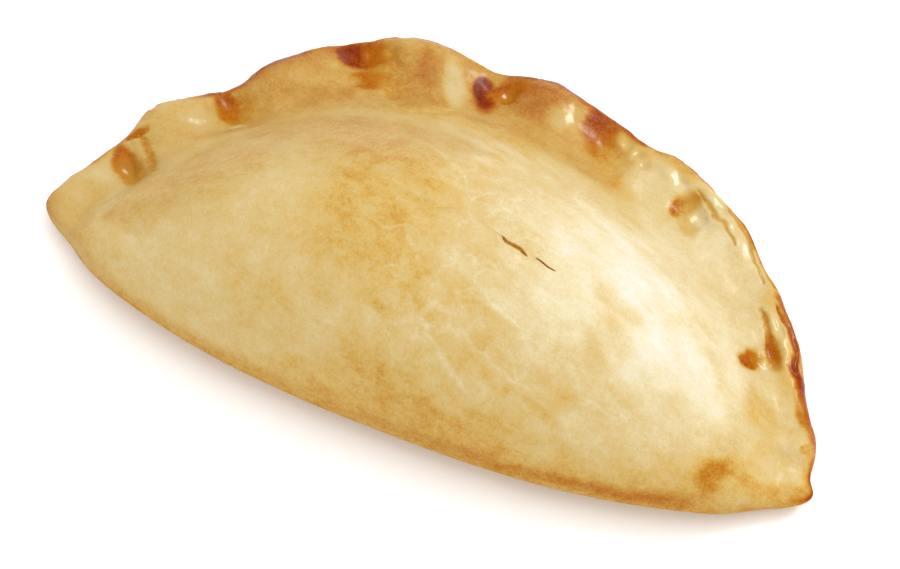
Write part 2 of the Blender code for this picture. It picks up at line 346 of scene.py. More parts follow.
def roundOff(piece, values):  # loose triangles to one smooth skin
    bpy.ops.object.mode_set(mode="EDIT")
    bpy.ops.mesh.select_all(action="SELECT")
    bpy.ops.mesh.remove_doubles(threshold=values["mergeWithin"])
    bpy.ops.mesh.tris_convert_to_quads(
        face_threshold=math.pi, shape_threshold=math.pi, topology_influence=1.5
    )
    bpy.ops.mesh.normals_make_consistent(inside=False)
    bpy.ops.object.mode_set(mode="OBJECT")
    rounding = piece.modifiers.new("rounding", "SUBSURF")
    rounding.levels = values["roundings"]
    rounding.render_levels = values["roundings"]
    bpy.ops.object.modifier_apply(modifier=rounding.name)
    bpy.ops.object.shade_smooth()


def easeWhere(piece, chosen, passes, values):
    bpy.ops.object.mode_set(mode="EDIT")
    bpy.ops.mesh.select_mode(type="VERT")
    bpy.ops.mesh.select_all(action="DESELECT")
    bpy.ops.object.mode_set(mode="OBJECT")
    piece.data.vertices.foreach_set("select", chosen)
    bpy.ops.object.mode_set(mode="EDIT")
    bpy.ops.mesh.vertices_smooth(factor=values["easing"], repeat=passes)
    bpy.ops.object.mode_set(mode="OBJECT")


def easeDome(piece, values):  # the filling's round back, and its foot along the crimp
    points, normals = readSkin(piece)
    onTop = normals[:, 2] > values["topFrom"]
    easeWhere(piece, onTop & (points[:, 2] > values["domeFrom"]), values["domePasses"], values)
    onFoot = onTop & (points[:, 2] > values["footFrom"]) & (points[:, 1] > values["footBehind"])
    easeWhere(piece, onFoot, values["footPasses"], values)


def refineWithin(piece, ovals, amount, values):
    cuts, passes = amount
    points, normals = readSkin(piece)
    near = np.zeros(len(points), bool)
    for oval in ovals:
        near |= ovalReach(points, *oval) < 1.0
    easeWhere(piece, near & (normals[:, 2] > values["finerFrom"]), 1, values)
    bpy.ops.object.mode_set(mode="EDIT")
    bpy.ops.mesh.subdivide(number_cuts=cuts)
    bpy.ops.mesh.vertices_smooth(factor=values["easing"], repeat=passes)
    bpy.ops.object.mode_set(mode="OBJECT")


def widened(row, margin):  # an oval of a table, that much wider all round
    x, y, halfLength, halfWidth, turn = row[:5]
    return x, y, halfLength + margin, halfWidth + margin, turn


def readSkin(piece):
    count = len(piece.data.vertices)
    points = np.empty(count * 3, np.float32)
    piece.data.vertices.foreach_get("co", points)
    normals = np.empty(count * 3, np.float32)
    piece.data.vertex_normals.foreach_get("vector", normals)
    return points.reshape(-1, 3).astype(float), normals.reshape(-1, 3).astype(float)


def writeSkin(piece, points):
    piece.data.vertices.foreach_set("co", points.astype(np.float32).ravel())
    piece.data.update()


def easeCrown(points, values):  # the dome's top is fitted to one gentle curve
    east = points[:, 0] - values["crown"][0]
    north = points[:, 1] - values["crown"][1]
    away = np.hypot(east, north)
    reach = values["crownReach"]
    onTop = (away < reach) & (points[:, 2] > values["domeFrom"])
    ring = onTop & (away > values["crownRing"] * reach)
    terms = np.stack([np.ones_like(east), east, north, east**2, north**2, east * north], axis=1)
    fit = np.linalg.lstsq(terms[ring], points[ring, 2], rcond=None)[0]
    weight = np.where(onTop, before(away, reach, values["crownBlend"] * reach), 0.0)
    points[:, 2] += weight * (terms @ fit - points[:, 2])


def distanceFromEdge(points, normals, values):
    outer = np.flatnonzero(np.abs(normals[:, 2]) < values["edgeSteepness"])
    tree = kdtree.KDTree(len(outer))
    for index in outer:
        tree.insert((points[index, 0], points[index, 1], 0.0), int(index))
    tree.balance()
    return np.array([tree.find((x, y, 0.0))[2] for x, y, _ in points])


def pressCrust(points, normals, place, band, upper, values):
    lift = np.zeros(len(points))
    wallAt, wallSteepness = values["pressWall"]
    height, ridgeAt, ridgeWidth = values["pressRidge"]
    for *oval, depth, _, _, _ in thumbPresses.values():
        reach = ovalReach(place, *oval)
        lift -= depth * mm * np.exp(-((reach / wallAt) ** wallSteepness))
        lift += height * depth * mm * np.exp(-(((reach - ridgeAt) / ridgeWidth) ** 2))
    softness = values["creaseSoftness"]
    height, width = values["creaseRidge"]
    for line, halfWidth, depth, _, _ in creases.values():
        lift -= depth * mm * stroke(place, line, halfWidth, softness)
        lift += height * depth * mm * stroke(place, line, width * halfWidth, softness)
    height, width, softness = values["slitLip"]
    for line, halfWidth, depth, _ in slitCuts.values():
        lift -= depth * mm * stroke(points[:, :2], line, halfWidth, values["slitSoftness"])
        lift += height * stroke(points[:, :2], line, width * halfWidth, softness)
    points[:, 2] += lift * upper

    size, depth = values["rippleDome"]
    swell = depth * ripple(points, size) * (1.0 - band)
    size, depth = values["rippleRim"]
    swell += depth * ripple(points, size) * band
    size, depth = values["rippleFine"]
    swell += depth * ripple(points, size)
    for row in glazedOvals:
        swell *= 1.0 - values["calm"] * np.exp(-ovalReach(place, *row[:5]) ** 2)
    under = values["rippleUnder"]
    points += normals * (swell * (under + (1.0 - under) * upper))[:, None]
    points[:, 2] = np.maximum(points[:, 2], 0.0)


def tiltGlints(points, normals, place, upper, values):
    slopes = -normals[:, :2] / np.maximum(normals[:, 2:], values["glintUpward"])
    lift = np.zeros(len(points))
    for *oval, _ in glints.values():
        weight = upper * np.exp(-ovalReach(place, *oval) ** values["glintFall"])
        for axis in (0, 1):
            missing = values["glintSlope"][axis] - np.average(slopes[:, axis], weights=weight)
            missing = np.clip(missing, -values["glintTurn"], values["glintTurn"])
            lift += missing * (points[:, axis] - oval[axis] * mm) * weight
    points[:, 2] += lift


crustPiece = copyOfNode("pasty", "pastyCrust")
roundOff(crustPiece, crustShape)
easeDome(crustPiece, crustShape)
refineWithin(crustPiece, [slitPatch], crustShape["finerSlit"], crustShape)
glazedOvals = list(glints.values()) + list(thumbPresses.values())
finerOvals = [widened(row, crustShape["finerMargin"]) for row in glazedOvals]
refineWithin(crustPiece, finerOvals, crustShape["finerPresses"], crustShape)
print("crust rounded off:", len(crustPiece.data.polygons), "faces")

skin, skinNormals = readSkin(crustPiece)
easeCrown(skin, crustShape)
fromEdge = distanceFromEdge(skin, skinNormals, crustShape)
wander = sum(reach * drift(skin, size) for reach, size in crustShape["wander"])
place = skin[:, :2] + wander[:, :2]
upperSide = after(skinNormals[:, 2], *crustShape["upperSide"])
bandHeight, bandChange = crustShape["band"]
band = before(skin[:, 2], bandHeight + 0.5 * bandChange, bandChange) * upperSide
pressCrust(skin, skinNormals, place, band, upperSide, crustShape)
writeSkin(crustPiece, skin)
skin, skinNormals = readSkin(crustPiece)
tiltGlints(skin, skinNormals, place, upperSide, crustShape)
writeSkin(crustPiece, skin)
print("thumb presses, creases and slit pressed in")


# The crust's baked tone with its painted shade and highlights, gloss and flour

# How far each part is baked, from 0 for cream to 1 for dark brown; some parts use the same tones for
# painted shade and painted highlights
crustTones = {
    "dome": 0.41,
    "fieldDrift": (3.0 * mm, 9.0 * mm),  # how the fields' edges wander: reach and size
    "fieldSoftness": 0.5,
    "wisps": (12.0 * mm, 3.6 * mm, -32.0, 0.10),  # pale streaks: length, width, turn and strength
    "wispDrift": (2.0 * mm, 6.0 * mm),
    "wispsFrom": (-26.0 * mm, 18.0 * mm),  # where they start, and over how far they grow
    "domeKnee": (0.57, 0.50),  # above this tone the dome browns more slowly, and by how much
    "bandSoftness": 0.8,
    "rim": (0.55, 0.66, 0.36),  # at the left, in the middle and at the right
    "rimChanges": ((-58.0 * mm, 8.0 * mm), (20.0 * mm, 10.0 * mm)),  # where, and over how far
    "rimShare": 0.85,
    "crimpFrom": (-12.0 * mm, 10.0 * mm),  # along y
    "frontFold": (0.45, 0.61),  # at the left and at the right
    "frontBefore": (-20.0 * mm, 8.0 * mm),  # along y
    "foldBelow": (21.0 * mm, 10.0 * mm),  # in height
    "foldBefore": (70.0 * mm, 10.0 * mm),  # along x
    "foldChange": (-34.0 * mm, 26.0 * mm),
    "frontEdge": (0.61, 0.80),
    "edgeBelow": (13.5 * mm, 4.0 * mm),
    "edgeBefore": (62.0 * mm, 8.0 * mm),
    "edgeChange": (-10.0 * mm, 36.0 * mm),
    "vein": (-0.09, 0.34, 0.9),  # change of tone, half width in mm and softness
    "veinDrift": (0.9 * mm, 2.6 * mm),
    "patch": (0.9, 0.45),  # share and softness
    "tonePatch": (14.0 * mm, 0.05),  # size and strength of the slow changes of tone
    "toneCloud": (4.0 * mm, 0.04),
    "rimEdges": ((2.8 * mm, 0.73), (1.0 * mm, 0.88)),  # width, and how dark
    "edgeUneven": (8.0 * mm, 0.75, 0.3),  # size, middle and least share
    "edgeSoftness": 0.7,
    "halo": (0.6, 0.75),  # browning round a press: share and softness
    "haloTone": (0.6, 0.2),  # share of the press's own tone, and what is added
    "pressSoftness": (0.18, 0.30),  # where a press starts, and what is added where it ends
    # the pale dab on each glint, a painted highlight: size, softness and tone
    "paintedGlint": (0.8, 0.9, 0.34),  # size as a share of the oval, softness and tone
    "creaseTone": (0.9, 0.6),  # share and softness
    "spotSoftness": 0.5,
    "underside": 0.64,
}

# Fields of the dome, in mm: x, y, half length, half width, turn, how dark, how far it gets there
domeFields = {
    "middle": (-10.5, -14.0, 22.0, 13.5, -62, 0.535, 0.85),
    "middleGold": (-12.5, -9.0, 15.0, 7.0, -68, 0.565, 0.85),
    "goldByCut": (10.5, 1.5, 11.0, 6.0, -24, 0.50, 0.75),
    "paleByCut": (13.0, -17.5, 9.0, 3.6, -10, 0.28, 0.8),
    "paleRightOfCut": (24.0, -19.0, 3.6, 6.0, 0, 0.22, 0.8),
    "goldRightOfCut": (23.0, -2.2, 6.0, 3.0, -30, 0.40, 0.7),
    "goldFrontMiddle": (-4.2, -29.0, 7.0, 4.4, -30, 0.52, 0.8),
    "goldFrontLeft": (-25.7, -32.4, 8.0, 4.0, -20, 0.52, 0.8),
    "goldFrontRight": (18.6, -31.5, 6.0, 3.6, -20, 0.50, 0.8),
    "goldBelowCut": (13.5, -25.0, 7.0, 3.4, -30, 0.50, 0.8),
    "frontGold": (6.0, -39.5, 30.0, 4.8, 3, 0.57, 0.85),
    "frontRight": (42.0, -35.0, 15.0, 4.6, 8, 0.36, 0.8),
    # partly painted sheen: the dome's right is baked pale and painted paler still where the lamp's broad
    # sheen lies
    "creamAndPaintedSheen": (36.5, -8.5, 25.0, 14.0, -30, 0.17, 1.0),
    "paleLower": (51.0, -25.0, 6.0, 4.0, 20, 0.27, 0.9),
    "creamAndSheenHeart": (40.0, -8.0, 16.0, 6.0, -40, 0.08, 0.8),
    "goldInCream": (35.0, -18.5, 6.0, 3.0, 70, 0.34, 0.8),
    "goldRight": (36.0, -25.0, 7.0, 3.0, -20, 0.42, 0.8),
    "goldRightUpper": (33.0, -11.5, 4.4, 2.8, -40, 0.38, 0.7),
    "goldAboveSpot": (50.5, -1.8, 3.8, 2.0, 12, 0.38, 0.9),
    "goldBySpot": (53.5, -8.0, 4.0, 2.4, 30, 0.32, 0.8),
    "goldByTip": (59.6, -28.0, 4.4, 2.6, 40, 0.50, 0.9),
    "rightStrip": (63.0, -12.0, 2.6, 6.5, 22, 0.55, 0.85),
    "rightTip": (69.5, -19.6, 7.0, 4.2, 35, 0.43, 0.9),
    "rightTipEdge": (71.0, -25.0, 8.0, 2.4, 28, 0.62, 0.9),
    "leftTip": (-71.0, -20.0, 6.0, 5.0, 40, 0.56, 0.9),
    "leftTongue": (-63.0, -15.0, 5.0, 4.0, 0, 0.45, 0.8),
}

# Bands that follow the dome's foot, in mm: points, half width, how dark, how far it gets there
domeBands = {
    # painted shade: a darker band on the dome's back slope, along its foot
    "shadedShoulder": (
        ((-60, -22), (-53, -17), (-47, -11), (-41, -3), (-35, 3),
         (-29, 4), (-22, 6), (-10, 9), (-2, 11)),
        9.0, 0.62, 0.9,
    ),
    "backFoot": (((-40, 14), (-28, 19), (-14, 21), (0, 22), (12, 22)), 3.6, 0.56, 0.8),
    "backRight": (((8, 21), (18, 21), (28, 17)), 4.4, 0.38, 0.85),
    "creamValley": (((27, 20), (38, 13), (48, 6), (55, -3), (58, -9)), 4.6, 0.22, 0.9),
}

# Patches of the crimped rim that bake and shine alike, in mm: x, y, half length, half width, turn,
# how dark, how glossy. A few are painted pale as painted highlights.
rimPatches = {
    "leftEndSide": (-62.0, -8.6, 4.0, 2.2, -40, 0.66, 0.5),
    "firstLobe": (-59.5, 3.5, 7.0, 4.6, 55, 0.58, 0.4),
    "firstLobeGold": (-56.6, 4.2, 4.2, 3.4, 0, 0.58, 0.5),
    # painted highlight: a pale spot where a highlight sits at the second lobe's foot
    "secondFootHighlight": (-49.2, 6.6, 1.9, 0.9, 24, 0.34, 0.9),
    "secondLobe": (-43.0, 20.0, 7.5, 4.6, 32, 0.67, 0.3),
    "secondLobeGold": (-39.0, 24.0, 6.0, 2.6, 30, 0.63, 0.4),
    "thirdLobe": (-20.0, 30.0, 7.4, 6.0, 10, 0.68, 0.3),
    "thirdLobeStripe": (-20.6, 32.4, 4.4, 1.5, -62, 0.74, 0.4),
    # painted highlight: a pale strip down the third lobe's side
    "thirdLobeSideHighlight": (-14.8, 31.2, 5.6, 1.9, -62, 0.38, 0.4),
    "fourthLobe": (1.6, 34.2, 8.0, 4.6, -4, 0.79, 0.3),
    # partly painted sheen: a paler tone beside the fifth press, with real gloss
    "fourthLobeGlossPaintedSheen": (7.6, 32.8, 3.4, 2.8, 30, 0.52, 0.7),
    "fifthCrumbs": (22.0, 31.9, 3.6, 2.2, -30, 0.60, 0.9),
    "fifthLobeBack": (30.5, 31.6, 5.5, 1.7, -28, 0.74, 0.4),
    "fifthLobeInner": (27.2, 24.6, 4.6, 2.6, -36, 0.29, 0.1),
    "fifthLobeFront": (31.5, 25.0, 4.4, 3.8, -40, 0.34, 0.5),
    "sixthBand": (44.0, 24.2, 7.0, 1.5, -38, 0.38, 0.8),
    "sixthValley": (42.0, 18.0, 6.0, 3.4, -50, 0.27, 0.4),
    "seventhTan": (57.8, 11.0, 3.8, 2.2, -48, 0.60, 0.4),
    "seventhField": (64.0, 0.4, 7.0, 2.8, -64, 0.56, 0.6),
    "rightEdge": (69.6, -6.4, 8.0, 1.5, -60, 0.74, 0.5),
    "thirdFootGold": (-35.6, 21.6, 6.0, 2.4, 20, 0.68, 0.4),
}

# Stretches of the outer edge that browned more, in mm: points, half width, width along the edge,
# how dark
edgeBakes = {
    "secondLobeEdge": (((-52.0, 15.0), (-46.0, 23.0), (-38.0, 30.0), (-32.0, 34.0)), 6.0, 4.4, 0.75),
    "secondNotch": (((-58.0, 9.0), (-54.0, 15.0), (-48.0, 21.0), (-42.0, 27.0)), 5.0, 2.2, 0.90),
    "thirdLobeEdge": (((-42.0, 27.0), (-36.0, 34.0), (-28.0, 36.0)), 3.0, 1.4, 0.84),
    "fourthLobeEdge": (((-6.0, 37.0), (2.0, 38.0), (12.0, 37.5), (24.0, 34.5)), 4.0, 2.4, 0.88),
    "sixthLobe": (((26.0, 34.0), (38.0, 29.0), (50.0, 21.0), (56.0, 14.0)), 3.5, 1.3, 0.82),
    "seventhNotch": (((58.0, 12.0), (66.0, 4.0), (70.0, -4.0), (74.0, -12.0)), 4.5, 1.8, 0.84),
}

# Small browned spots, in mm: x, y, half length, half width, turn, how dark
brownSpots = (
    (59.6, -28.8, 3.4, 1.9, 55, 0.74),
    (0.9, -21.0, 1.5, 1.1, 20, 0.60),
    (-29.4, -4.8, 1.2, 0.9, 0, 0.56),
    (-26.0, -7.2, 1.0, 0.8, 0, 0.54),
    (1.2, 12.0, 1.6, 1.0, 0, 0.54),
    (66.7, -22.7, 1.6, 1.0, 30, 0.48),
)

# Thin pale veins where the wash has cracked, in mm
paleVeins = (
    ((-14.8, -16.0), (-9.6, -16.9)),
    ((-8.5, -15.0), (-4.9, -14.5), (-0.2, -19.7)),
    ((-9.3, 6.8), (-1.0, 1.1), (5.6, -6.5)),
    ((11.7, -20.2), (15.9, -22.0), (20.6, -23.5)),
    ((17.5, 15.0), (19.5, 3.0)),
    ((-0.5, -24.7), (6.6, -30.2), (16.3, -35.4)),
    ((7.1, -27.0), (17.6, -29.5), (27.8, -31.6)),
    ((34.3, -29.0), (41.5, -28.2)),
)

# Where the wash is finely crazed, in mm: x, y, half length, half width, turn, how much
crazedFields = (
    (14.0, -8.0, 20.0, 10.0, -30, 1.0),
    (8.0, -26.0, 26.0, 9.0, -20, 1.0),
    (-14.0, -4.0, 12.0, 8.0, -50, 0.7),
    (30.0, 6.0, 18.0, 8.0, -40, 0.6),
    (50.0, -14.0, 12.0, 6.0, -50, 0.5),
)


def towards(values, mask, target):
    values += mask * (target - values)


def paintTones(points, place, band, upper, fromEdge, values):
    east, north, height = points.T
    softness = values["fieldSoftness"]
    reach, size = values["fieldDrift"]
    broad = place + reach * drift(points, size)[:, :2]
    tone = np.full(len(points), values["dome"])
    for *oval, dark, share in domeFields.values():
        towards(tone, share * spot(ovalReach(broad, *oval), softness), dark)
    length, width, turn, strength = values["wisps"]
    reach, size = values["wispDrift"]
    wisp = ripple(turned(points + reach * drift(points, size), turn) / (length, width, width), 1.0)
    tone += strength * wisp * after(east, *values["wispsFrom"]) * (1.0 - band)
    knee, slope = values["domeKnee"]
    tone = np.where(tone > knee, knee + slope * (tone - knee), tone)
    for line, halfWidth, dark, share in domeBands.values():
        towards(tone, share * stroke(broad, line, halfWidth, values["bandSoftness"]), dark)

    left, middle, right = values["rim"]
    middleFrom, rightFrom = values["rimChanges"]
    rim = left + (middle - left) * after(east, *middleFrom)
    rim += (right - middle) * after(east, *rightFrom)
    towards(tone, values["rimShare"] * (band * after(north, *values["crimpFrom"])), rim)
    front = before(north, *values["frontBefore"])
    fold = front * before(height, *values["foldBelow"]) * before(east, *values["foldBefore"])
    left, right = values["frontFold"]
    towards(tone, fold, left + (right - left) * after(east, *values["foldChange"]))

    vein, halfWidth, softness = values["vein"]
    reach, size = values["veinDrift"]
    wobbly = place + reach * drift(points, size)[:, :2]
    for line in paleVeins:
        tone += vein * stroke(wobbly, line, halfWidth, softness)
    share, softness = values["patch"]
    # rim patches, a few of them painted highlights
    for *oval, dark, _ in rimPatches.values():
        towards(tone, share * spot(ovalReach(place, *oval), softness) * upper, dark)
    size, strength = values["tonePatch"]
    tone += strength * ripple(points, size)
    size, strength = values["toneCloud"]
    tone += strength * ripple(points + 1.0, size)  # moved, so that it differs from the one above
    size, usual, least = values["edgeUneven"]
    uneven = np.clip(usual + ripple(points + 2.0, size), least, 1.0)
    for width, dark in values["rimEdges"]:
        towards(tone, uneven * (1.0 - front) * before(fromEdge, width, width), dark)
    for line, halfWidth, width, dark in edgeBakes.values():
        nearEdge = before(fromEdge, width * mm, values["edgeSoftness"] * width * mm)
        towards(tone, stroke(place, line, halfWidth) * nearEdge * upper, dark)
    lowEdge = front * before(height, *values["edgeBelow"]) * before(east, *values["edgeBefore"])
    left, right = values["frontEdge"]
    towards(tone, lowEdge, left + (right - left) * after(east, *values["edgeChange"]))

    haloShare, haloSoftness = values["halo"]
    ofPress, added = values["haloTone"]
    softness, softer = values["pressSoftness"]
    for *oval, _, start, end, _ in thumbPresses.values():
        reach = ovalReach(place, *oval)
        onward = pressCourse(place, *oval)
        dark = start + (end - start) * onward
        towards(tone, haloShare * spot(reach, haloSoftness) * upper, ofPress * dark + added)
        towards(tone, spot(reach, softness + softer * onward) * upper, dark)
    # painted highlight: a pale dab on each glint, over its real flat that catches the lamp
    size, softness, dark = values["paintedGlint"]
    for *oval, paintedHighlight in glints.values():
        towards(tone, paintedHighlight * spot(size * ovalReach(place, *oval), softness) * upper, dark)
    share, softness = values["creaseTone"]
    for line, halfWidth, _, dark, _ in creases.values():
        towards(tone, share * stroke(place, line, halfWidth, softness) * upper, dark)
    softness = values["spotSoftness"]
    for *oval, dark in brownSpots:
        towards(tone, spot(ovalReach(place, *oval), softness) * upper, dark)
    for line, halfWidth, _, dark in slitCuts.values():
        towards(tone, stroke(points[:, :2], line, halfWidth, softness), dark)
    towards(tone, 1.0 - upper, values["underside"])
    return tone


# How thick the egg wash lies, how greyed by painted shade and how floury the crust is, and where it is
# crazed
crustCoats = {
    "glaze": 0.22,
    "rimGlaze": (0.25, 0.20),  # added on the rim, and how much of that is missing at its right
    "rightFrom": (20.0 * mm, 14.0 * mm),  # along x
    "patchSoftness": 0.45,
    "pressGlaze": (0.25, 0.5),  # share of its gloss where a press starts, and softness
    "creaseSoftness": 0.6,
    "glintSoftness": 0.6,
    # painted shade: how far the rim's left, the dome's shoulder and the creases are greyed and darkened
    "rimGreyShade": 0.22,
    "greyShadeBefore": (26.0 * mm, 14.0 * mm),  # along x
    "shoulderGreyShade": (0.30, 1.2, 0.8),  # how dull, width as a share of the band's, and softness
    "creaseGreyShade": (0.10, 1.4, 0.8),
    "pressBright": 0.6,  # softness
    "rightFlour": ((60.0 * mm, 6.0 * mm), (-13.0 * mm, 5.0 * mm)),  # after it along x, before along y
    "leftFlour": ((-60.0 * mm, 10.0 * mm), (-10.0 * mm, 6.0 * mm)),  # before it along x and along y
    "leftFlourShare": 0.6,
    "underFlour": 0.8,
    "crazeSoftness": 0.6,
    "crazePatches": (7.0 * mm, 0.5, 2.0),  # size, middle and contrast
}


def glazeOver(points, place, band, upper, values):
    rim, missing = values["rimGlaze"]
    glaze = values["glaze"] + band * (rim - missing * after(points[:, 0], *values["rightFrom"]))
    for *oval, _, gloss in rimPatches.values():
        towards(glaze, spot(ovalReach(place, *oval), values["patchSoftness"]), gloss)
    least, softness = values["pressGlaze"]
    for *oval, _, _, _, gloss in thumbPresses.values():
        onward = pressCourse(place, *oval)
        towards(glaze, spot(ovalReach(place, *oval), softness), gloss * (least + (1.0 - least) * onward))
    for line, halfWidth, _, _, gloss in creases.values():
        towards(glaze, stroke(place, line, halfWidth, values["creaseSoftness"]), gloss)
    for *oval, _ in glints.values():
        towards(glaze, spot(ovalReach(place, *oval), values["glintSoftness"]), 1.0)
    return glaze * upper


# painted shade: greys and darkens the rim's left, the dome's shoulder and the creases, but not the
# presses
def greyShadeOver(points, place, band, upper, values):  # greyer: the rim's left and the dome's foot
    greyShade = values["rimGreyShade"] * band * before(points[:, 0], *values["greyShadeBefore"])
    line, halfWidth, _, share = domeBands["shadedShoulder"]
    grey, width, softness = values["shoulderGreyShade"]
    towards(greyShade, share * stroke(place, line, width * halfWidth, softness), grey)
    grey, width, softness = values["creaseGreyShade"]
    for line, halfWidth, _, _, _ in creases.values():
        towards(greyShade, stroke(place, line, width * halfWidth, softness), grey)
    for *oval, _, _, _, _ in thumbPresses.values():
        towards(greyShade, spot(ovalReach(place, *oval), values["pressBright"]), 0.0)
    return greyShade * upper


def flourOver(points, upper, values):
    east, north, _ = points.T
    alongX, alongY = values["rightFlour"]
    rightEnd = after(east, *alongX) * before(north, *alongY)
    alongX, alongY = values["leftFlour"]
    leftEnd = before(east, *alongX) * before(north, *alongY)
    onTop = np.maximum(rightEnd, values["leftFlourShare"] * leftEnd) * upper
    return np.maximum(onTop, values["underFlour"] * (1.0 - upper))


def crazeOver(points, place, upper, values):  # where the egg wash has crazed, in patches
    crazed = np.zeros(len(points))
    for *oval, share in crazedFields:
        towards(crazed, share * spot(ovalReach(place, *oval), values["crazeSoftness"]), 1.0)
    size, usual, contrast = values["crazePatches"]
    return crazed * upper * np.clip(usual + contrast * ripple(points, size), 0.0, 1.0)


def storeOnSkin(piece, name, values):
    layer = piece.data.attributes.new(name, "FLOAT", "POINT")
    layer.data.foreach_set("value", values.astype(np.float32))


toneWithPaintedLight = paintTones(skin, place, band, upperSide, fromEdge, crustTones)
storeOnSkin(crustPiece, "toneWithPaintedLight", toneWithPaintedLight)
storeOnSkin(crustPiece, "glaze", glazeOver(skin, place, band, upperSide, crustCoats))
storeOnSkin(crustPiece, "greyShade", greyShadeOver(skin, place, band, upperSide, crustCoats))
storeOnSkin(crustPiece, "flour", flourOver(skin, upperSide, crustCoats))
storeOnSkin(crustPiece, "crazing", crazeOver(skin, place, upperSide, crustCoats))
print("tones baked: %.2f to %.2f" % (toneWithPaintedLight.min(), toneWithPaintedLight.max()))


# The crust's material

crustFinish = {
    "lightness": 0.73,  # the studio is bright, so the crust itself is that much darker than it looks
    # how far baked, and how that looks on a screen
    "colours": (
        # the palest, near white, serves the dome's pale right, partly as painted sheen
        (0.00, (247, 240, 224)),
        (0.20, (240, 223, 178)),
        (0.40, (227, 199, 138)),
        (0.54, (221, 183, 104)),
        (0.62, (215, 165, 78)),
        (0.70, (202, 141, 48)),
        (0.78, (192, 108, 4)),
        (0.88, (156, 60, 0)),
        (1.00, (100, 26, 0)),
    ),
    # colour of the painted shade, and of the random blush
    "greyShadeColour": (190, 163, 114),
    "mottleScale": 300.0,  # per metre
    "mottleStrength": 0.09,
    "streakScale": (220.0, 440.0, 300.0),
    "streakTurn": -42.0,
    "streakStrength": 0.07,
    "crackScale": 150.0,
    "crackDrift": 0.006,
    "crackStrength": 0.22,
    "crackWidth": 0.10,
    "grainScale": 2200.0,
    "grainStrength": 0.26,
    "freckleScale": 900.0,
    "freckleStrength": 0.20,
    "blushScale": 90.0,
    "blushStrength": 0.22,
    "noiseRoughness": 0.55,
    "broadDetail": 4.0,  # octaves of the mottling and the streaks
    "fineDetail": 2.0,  # of the grain and the freckles
    "blushDetail": 3.0,
    "glazeEvens": 0.8,  # how much of the mottling a full glaze takes away
    "roughness": (0.46, 0.16),  # plain, and under a full glaze
    "flourRoughness": 0.25,  # added by flour and by the grain
    "grainRoughness": 0.12,
    "coatShare": 0.30,  # of a full glaze
    "coatRoughness": 0.23,
    "coatIor": 1.50,
    "specular": 0.08,
    "bumpDistance": 0.00022,
    "bumpStrength": 0.55,
    "reliefShares": (1.6, 0.9),  # of the mottling and of the freckles beside the grain
    "glazeFills": 0.85,  # how much of the relief a full glaze fills
}


def addNode(tree, kind, column, row):
    node = tree.nodes.new(kind)
    node.location = (column * 200.0, row * 200.0)
    return node


def addNoise(tree, coordinates, scale, detail, column, row):
    texture = addNode(tree, "ShaderNodeTexNoise", column, row)
    texture.inputs["Scale"].default_value = scale
    texture.inputs["Detail"].default_value = detail
    texture.inputs["Roughness"].default_value = crustFinish["noiseRoughness"]
    tree.links.new(coordinates, texture.inputs["Vector"])
    return texture.outputs["Fac"]


def calculate(tree, operation, first, second, column, row, third=None):
    node = addNode(tree, "ShaderNodeMath", column, row)
    node.operation = operation
    for socket, value in zip(node.inputs, (first, second, third)):
        if isinstance(value, (int, float)):
            socket.default_value = value
        elif value is not None:
            tree.links.new(value, socket)
    return node.outputs["Value"]


def readLayer(tree, name, column, row):
    node = addNode(tree, "ShaderNodeAttribute", column, row)
    node.attribute_name = name
    return node.outputs["Fac"]


def crackLines(tree, coordinates, mottle, values):  # pale hairlines where the egg wash has crazed
    wander = addNode(tree, "ShaderNodeTexNoise", -12, -5)
    wander.inputs["Scale"].default_value = 2.0 * values["crackScale"]
    shifted = addNode(tree, "ShaderNodeVectorMath", -11, -5)
    shifted.operation = "MULTIPLY_ADD"
    shifted.inputs[1].default_value = (values["crackDrift"],) * 3
    tree.links.new(coordinates, wander.inputs["Vector"])
    tree.links.new(wander.outputs["Color"], shifted.inputs[0])
    tree.links.new(coordinates, shifted.inputs[2])
    cells = addNode(tree, "ShaderNodeTexVoronoi", -10, -5)
    cells.feature = "DISTANCE_TO_EDGE"
    cells.inputs["Scale"].default_value = values["crackScale"]
    tree.links.new(shifted.outputs["Vector"], cells.inputs["Vector"])
    line = addNode(tree, "ShaderNodeMapRange", -9, -5)
    line.interpolation_type = "SMOOTHSTEP"
    line.inputs["From Max"].default_value = values["crackWidth"]
    line.inputs["To Min"].default_value = values["crackStrength"]
    line.inputs["To Max"].default_value = 0.0
    tree.links.new(cells.outputs["Distance"], line.inputs["Value"])
    crazing = readLayer(tree, "crazing", -9, -6)
    lines = calculate(tree, "MULTIPLY", line.outputs["Result"], crazing, -8, -5)
    return calculate(tree, "MULTIPLY", lines, mottle, -7, -5)


